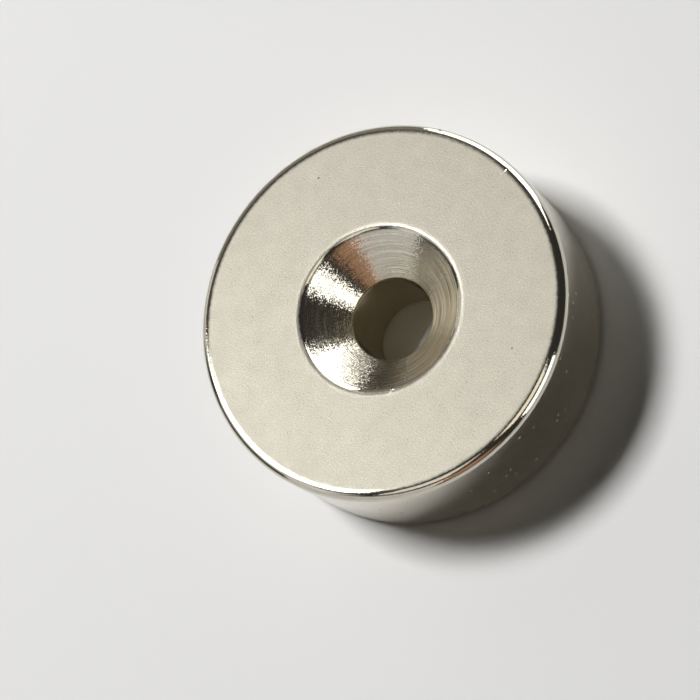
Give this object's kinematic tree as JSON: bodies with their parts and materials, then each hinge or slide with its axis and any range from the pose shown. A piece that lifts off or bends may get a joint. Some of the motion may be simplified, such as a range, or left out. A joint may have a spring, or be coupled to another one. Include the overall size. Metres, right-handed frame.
{
  "type": "countersunk magnet",
  "caption": "Thick disc magnet with a central screw bore that opens into a countersink for a flat-head screw.",
  "frame": {"origin": "centre of the lower flat face, on the axis of the bore", "axes": "+Z along the bore, out of the countersink; the part is the same all round, so X and Y are free"},
  "size_m": [0.03, 0.03, 0.01],
  "materials": {
    "nickel": "nickel plating: satin on the ground faces, bright on the side, edges and countersink"
  },
  "bodies": {
    "root": {"magnet": "nickel"}
  },
  "joints": []
}
